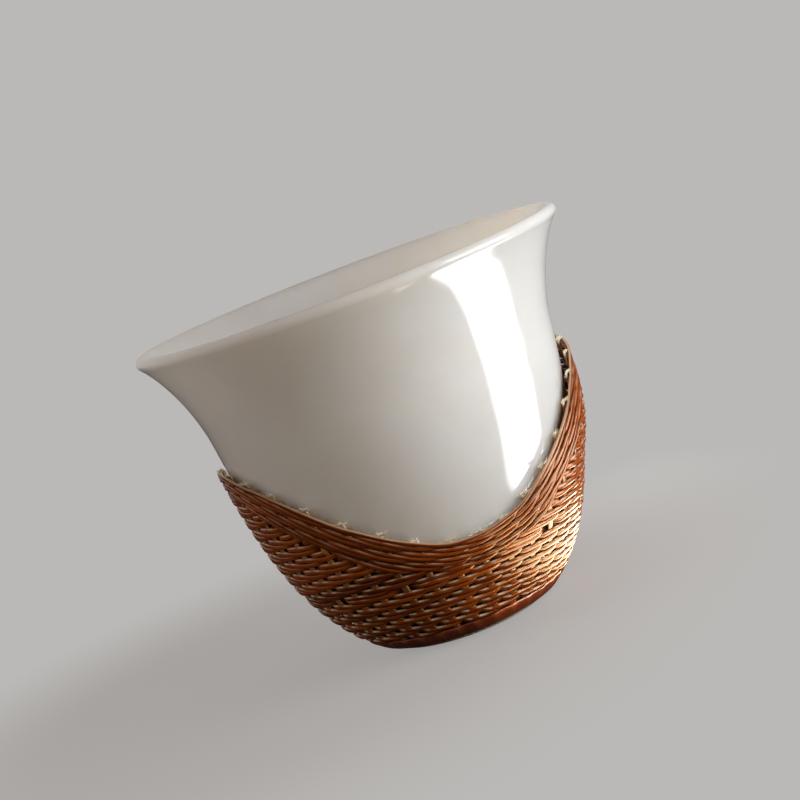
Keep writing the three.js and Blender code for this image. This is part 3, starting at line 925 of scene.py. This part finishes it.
def make_camera():
    data = bpy.data.cameras.new("camera")
    data.sensor_width = SENSOR_WIDTH
    data.lens = FOCAL_PIXELS / FRAME_PIXELS * SENSOR_WIDTH
    data.clip_start = NEAR_CLIP
    camera = bpy.data.objects.new("camera", data)
    bpy.context.scene.collection.objects.link(camera)
    forward = (CAMERA_AIM - CAMERA_PLACE).normalized()
    right = forward.cross(Vector((0, 0, 1))).normalized()
    up = right.cross(forward)
    turned_right = math.cos(CAMERA_ROLL) * right + math.sin(CAMERA_ROLL) * up
    turned_up = math.cos(CAMERA_ROLL) * up - math.sin(CAMERA_ROLL) * right
    turn = Matrix((turned_right, turned_up, -forward)).transposed()
    camera.matrix_world = Matrix.Translation(CAMERA_PLACE) @ turn.to_4x4()
    bpy.context.scene.camera = camera


# Stage, in metres: a pale floor that fades into the background, and soft light from the right
BACKGROUND = linear(187, 185, 183)
AMBIENT = (0.195, 0.14, 0.098, 1)
FLOOR_RADIUS = 1.2
FLOOR_CORNERS = 96
FLOOR_SHADE = 0.36  # the share of the floor's look that comes from light on it, and so shows the shadow
FLOOR_BOUNCE = (0.07, 0.065, 0.06, 1)  # the floor's colour for the light that it throws back
SHADOW_CENTRE = (-0.03, 0.015, 0)
SEEN_FADE = (0.04, 0.1)  # distances from there in which the floor fades, as the camera sees it
MIRRORED_FADE = (0.25, 0.9)  # and as a gloss shows it


def background_light(tree):
    """Two outputs, which are one where the background shows: to the camera, and in a gloss or glass."""
    path = add_node(tree, "ShaderNodeLightPath").outputs
    mirrored = math_node(tree, "MAXIMUM", path["Is Glossy Ray"], path["Is Transmission Ray"])
    return path["Is Camera Ray"], mirrored


def make_world():
    world = bpy.data.worlds.new("studio")
    bpy.context.scene.world = world
    world.use_nodes = True
    tree = world.node_tree
    shader = tree.nodes["Background"]
    seen = math_node(tree, "MAXIMUM", *background_light(tree))
    set_inputs(tree, shader, Color=mix_colour(tree, seen, AMBIENT, BACKGROUND))


def make_floor():
    bpy.ops.mesh.primitive_circle_add(vertices=FLOOR_CORNERS, radius=FLOOR_RADIUS, fill_type="NGON")
    floor = bpy.context.object
    floor.name = "floor"
    material, tree, shader = new_material("pale_floor")
    camera, mirrored = background_light(tree)
    place = add_node(tree, "ShaderNodeTexCoord").outputs["Object"]
    distance = add_node(tree, "ShaderNodeVectorMath", {"operation": "DISTANCE"}, i0=place,
                        i1=SHADOW_CENTRE).outputs["Value"]
    far_seen = math_node(tree, "MULTIPLY", map_range(tree, distance, *SEEN_FADE), camera)
    far_mirrored = math_node(tree, "MULTIPLY", map_range(tree, distance, *MIRRORED_FADE), mirrored)
    far = math_node(tree, "MAXIMUM", far_seen, far_mirrored)
    shade = tuple(FLOOR_SHADE * part for part in BACKGROUND[:3])
    glow = tuple((1 - FLOOR_SHADE) * part for part in BACKGROUND[:3])
    set_inputs(tree, shader, Base_Color=mix_colour(tree, camera, FLOOR_BOUNCE, (*shade, 1)),
               Emission_Strength=camera)
    set_inputs(tree, shader, Roughness=0.8, Specular_IOR_Level=0.0, Emission_Color=(*glow, 1))
    backdrop = add_node(tree, "ShaderNodeEmission", Color=BACKGROUND, Strength=1.0)
    mix = add_node(tree, "ShaderNodeMixShader", i0=far, i1=shader.outputs[0], i2=backdrop.outputs[0])
    tree.links.new(mix.outputs[0], tree.nodes["Material Output"].inputs["Surface"])
    floor.data.materials.append(material)
    floor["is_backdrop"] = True


def add_lamp(name, place, aim, size, radiance, colour=(1, 1, 1)):
    """Soft rectangular lamp, sized and placed in millimetres, that looks as bright as its radiance."""
    data = bpy.data.lights.new(name, "AREA")
    data.shape = "RECTANGLE"
    data.size, data.size_y = (length * MM for length in size)
    data.energy = radiance * math.pi * data.size * data.size_y
    data.color = colour
    lamp = bpy.data.objects.new(name, data)
    bpy.context.scene.collection.objects.link(lamp)
    lamp.location = Vector(place) * MM
    lamp.rotation_euler = (Vector(aim) - Vector(place)).to_track_quat("-Z", "Y").to_euler()
    lamp.visible_camera = False
    return lamp


def make_lights():
    """A soft key lamp from the right, cards that only show in a gloss, and fills that don't show in one."""
    under_sleeve = {"place": (22.5, -15.5, 1.2), "aim": (21.5, -14.8, 50), "size": (50, 14)}
    add_lamp("key", place=(190, -136, 80), aim=(10, -10, 30), size=(170, 110), radiance=8.4)
    cards = [
        add_lamp("low_card", place=(51.5, -32.5, 17), aim=(21.3, 7.4, 17), size=(42, 33), radiance=11.0),
        add_lamp("floor_card", **under_sleeve, radiance=14.0, colour=(1, 0.8, 0.52)),
        add_lamp("band_card", place=(47.9, -27.7, 0.6), aim=(47.3, -26.9, 50), size=(42, 12),
                 radiance=11.0),
    ]
    fills = [
        add_lamp("front_fill", place=(40, -120, 55), aim=(10, 0, 45), size=(120, 60), radiance=1.5,
                 colour=(1, 0.95, 0.8)),
        add_lamp("low_fill", **under_sleeve, radiance=5.0, colour=(1, 0.8, 0.55)),
        add_lamp("back_fill", place=(74, 36, 14), aim=(15, 0, 25), size=(50, 28), radiance=9.0),
        add_lamp("left_fill", place=(-220, 30, 130), aim=(0, 0, 45), size=(120, 120), radiance=2.8),
    ]
    for card in cards:
        card.visible_diffuse = False
    for fill in fills:
        fill.visible_glossy = False


make_camera()
make_world()
make_floor()
make_lights()
bpy.context.scene.view_settings.view_transform = "Standard"

boxes = {"cad": cad_box, "visual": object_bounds()}
{name: [list(corner) for corner in box] for name, box in boxes.items()}
